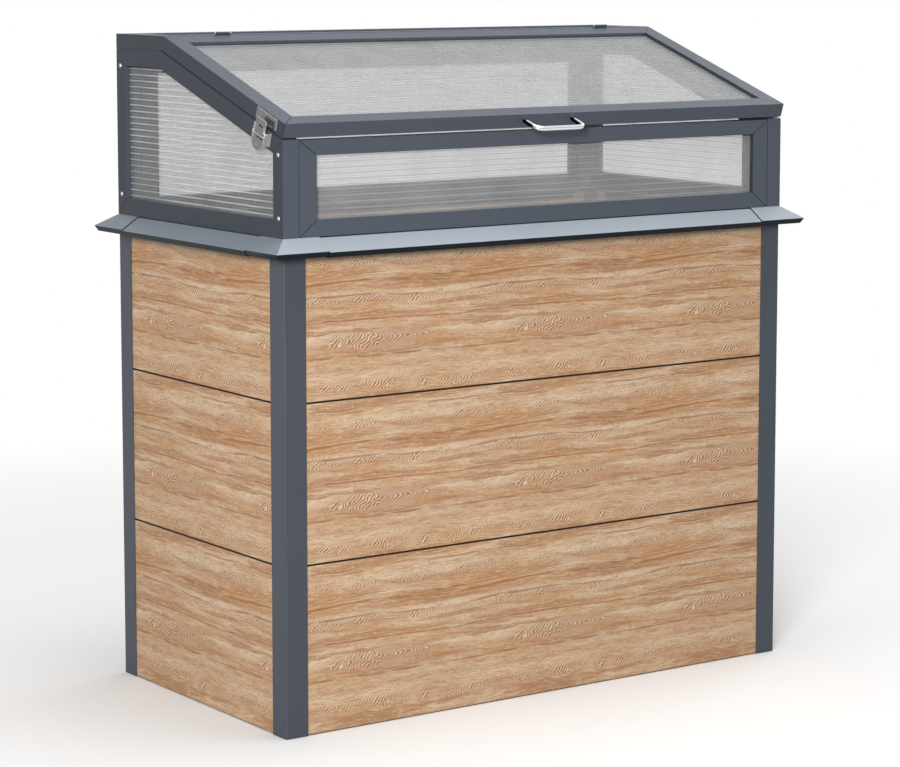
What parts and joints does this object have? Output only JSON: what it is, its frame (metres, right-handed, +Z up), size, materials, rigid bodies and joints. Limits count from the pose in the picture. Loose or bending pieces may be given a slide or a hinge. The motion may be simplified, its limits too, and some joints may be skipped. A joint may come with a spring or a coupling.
{
  "type": "raised bed with cold frame",
  "caption": "Raised garden bed of wood-decor boards in dark corner posts, with a sloping rim and a glazed cold frame whose hinged lid is held by draw latches",
  "frame": {"origin": "on the ground, under the middle of the bed", "axes": "+X to the right along the front, +Y to the rear, +Z up"},
  "size_m": [1.06, 0.593, 1.0841],
  "materials": {
    "anthracite": "fine-textured powder coat",
    "rim_grey": "satin powder coat",
    "oak_decor": "printed oak grain, matte",
    "twin_wall": "clear twin-wall polycarbonate",
    "black_rubber": "closed-cell foam strip",
    "zinc": "bright zinc plate",
    "chrome": "polished"
  },
  "bodies": {
    "bed": {"front_board_1": "oak_decor", "rear_board_1": "oak_decor", "left_board_1": "oak_decor", "right_board_1": "oak_decor", "front_board_2": "oak_decor", "rear_board_2": "oak_decor", "left_board_2": "oak_decor", "right_board_2": "oak_decor", "front_board_3": "oak_decor", "rear_board_3": "oak_decor", "left_board_3": "oak_decor", "right_board_3": "oak_decor", "post_front_left": "anthracite", "post_front_right": "anthracite", "post_rear_left": "anthracite", "post_rear_right": "anthracite", "front_rim": "rim_grey", "rear_rim": "rim_grey", "left_rim": "rim_grey", "right_rim": "rim_grey", "rim_corner_front_left": "rim_grey", "rim_corner_front_right": "rim_grey", "rim_corner_rear_left": "rim_grey", "rim_corner_rear_right": "rim_grey", "left_wall_frame": "anthracite", "right_wall_frame": "anthracite", "front_bottom_rail": "anthracite", "front_right_stile": "anthracite", "front_top_rail": "anthracite", "front_left_stile": "anthracite", "rear_wall_frame": "anthracite", "roof_frame": "anthracite", "left_wall_sheet": "twin_wall", "right_wall_sheet": "twin_wall", "front_sheet": "twin_wall", "rear_sheet": "twin_wall", "roof_sheet": "twin_wall", "left_lid_seal": "black_rubber", "right_lid_seal": "black_rubber", "left_hinge_roof_leaf": "anthracite", "right_hinge_roof_leaf": "anthracite", "left_hinge_pin": "zinc", "right_hinge_pin": "zinc", "left_latch_base": "zinc", "right_latch_base": "zinc"},
    "lid": {"lid_front_rail": "anthracite", "lid_right_stile": "anthracite", "lid_rear_rail": "anthracite", "lid_left_stile": "anthracite", "lid_sheet": "twin_wall", "lid_handle": "chrome", "left_hinge_lid_leaf": "anthracite", "right_hinge_lid_leaf": "anthracite", "left_keeper": "zinc", "right_keeper": "zinc"},
    "left_lever": {"left_latch_lever": "zinc"},
    "right_lever": {"right_latch_lever": "zinc"},
    "left_draw": {"left_draw_plate": "zinc"},
    "right_draw": {"right_draw_plate": "zinc"}
  },
  "joints": [
    {"name": "lid_hinge", "type": "hinge", "parent": "bed", "child": "lid", "pos_m": [0, 0.10157, 1.08167], "axis": [-1, 0, 0], "range_deg": [0, 195]},
    {"name": "left_lever_hinge", "type": "hinge", "parent": "bed", "child": "left_lever", "pos_m": [-0.5055, -0.20957, 0.93995], "axis": [0, 0.9483, 0.3173], "range_deg": [0, 100]},
    {"name": "right_lever_hinge", "type": "hinge", "parent": "bed", "child": "right_lever", "pos_m": [0.5055, -0.20957, 0.93995], "axis": [0, -0.9483, -0.3173], "range_deg": [0, 100]},
    {"name": "left_draw_hinge", "type": "hinge", "parent": "left_lever", "child": "left_draw", "pos_m": [-0.5092, -0.20798, 0.93521], "axis": [0, 0.9483, 0.3173], "range_deg": [-100, 0]},
    {"name": "right_draw_hinge", "type": "hinge", "parent": "right_lever", "child": "right_draw", "pos_m": [0.5092, -0.20798, 0.93521], "axis": [0, -0.9483, -0.3173], "range_deg": [-100, 0]}
  ],
  "couplings": [
    {"joint": "left_draw_hinge", "follows": "left_lever_hinge", "ratio": -1},
    {"joint": "right_draw_hinge", "follows": "right_lever_hinge", "ratio": -1}
  ]
}
